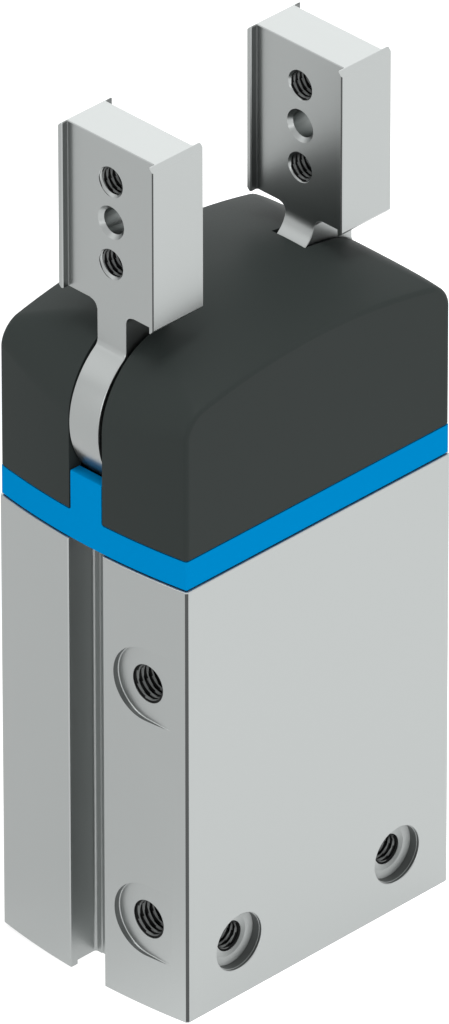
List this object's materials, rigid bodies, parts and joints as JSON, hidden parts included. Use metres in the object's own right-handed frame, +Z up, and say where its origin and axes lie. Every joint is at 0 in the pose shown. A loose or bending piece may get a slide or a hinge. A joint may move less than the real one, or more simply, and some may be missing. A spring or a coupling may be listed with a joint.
{
  "type": "pneumatic radial gripper",
  "caption": "Double-acting radial gripper: flat housing with piston, black cover, blue spacer ring and two swinging jaws on pivot discs that open sideways.",
  "frame": {"origin": "centre of the housing's bottom face", "axes": "+Z up from the bottom face towards the jaws, X the direction in which the jaws open, Y the thin way through the body; the air ports are on the -X face"},
  "size_m": [0.0466, 0.0312, 0.1133],
  "materials": {
    "housing_anodised": "fine matt clear anodised",
    "jaw_metal": "machined, satin, edges broken",
    "mill_aluminium": "turned and milled",
    "cover_black": "fine grained moulded polyamide",
    "ring_blue": "satin moulded plastic",
    "hardened_steel": "ground",
    "spring_steel": "phosphated dark",
    "bronze": "sintered, satin",
    "nitrile_rubber": "matt black",
    "bearing_polymer": "filled bearing polymer",
    "magnet": "dull sintered magnet"
  },
  "bodies": {
    "housing": {"housing": "housing_anodised", "end_cap": "mill_aluminium", "bearing_block": "mill_aluminium", "cover": "cover_black", "spacer_ring": "ring_blue", "end_cap_snap_ring": "spring_steel", "left_pin_snap_ring": "spring_steel", "right_pin_snap_ring": "spring_steel", "end_cap_o_ring": "nitrile_rubber", "lower_buffer": "nitrile_rubber", "upper_buffer": "nitrile_rubber", "rod_seal": "nitrile_rubber", "rod_guide_bush": "bronze", "rod_seal_washer": "hardened_steel", "left_pivot_pin": "hardened_steel", "right_pivot_pin": "hardened_steel", "block_screw_1": "hardened_steel", "block_screw_2": "hardened_steel", "block_screw_3": "hardened_steel", "block_screw_4": "hardened_steel"},
    "left_jaw": {"left_jaw": "jaw_metal", "left_jaw_bush": "bronze", "left_drive_pin": "hardened_steel"},
    "right_jaw": {"right_jaw": "jaw_metal", "right_jaw_bush": "bronze", "right_drive_pin": "hardened_steel"},
    "piston": {"piston": "mill_aluminium", "piston_rod": "hardened_steel", "piston_nut": "hardened_steel", "piston_seal_lower": "nitrile_rubber", "piston_seal_upper": "nitrile_rubber", "piston_wear_ring": "bearing_polymer", "piston_magnet": "magnet", "crosshead": "hardened_steel"}
  },
  "joints": [
    {"name": "left_jaw_swing", "type": "hinge", "parent": "housing", "child": "left_jaw", "pos_m": [-0.01235, 0, 0.0763], "axis": [0, -1, 0], "range_deg": [0, 90]},
    {"name": "right_jaw_swing", "type": "hinge", "parent": "housing", "child": "right_jaw", "pos_m": [0.01235, 0, 0.0763], "axis": [0, 1, 0], "range_deg": [0, 90]},
    {"name": "piston_stroke", "type": "slide", "parent": "housing", "child": "piston", "axis": [0, 0, 1], "range_m": [0, 0.0099]}
  ],
  "couplings": [
    {"joint": "right_jaw_swing", "follows": "left_jaw_swing", "ratio": 1},
    {"joint": "piston_stroke", "follows": "left_jaw_swing", "m_per_rad": 0.0063}
  ]
}
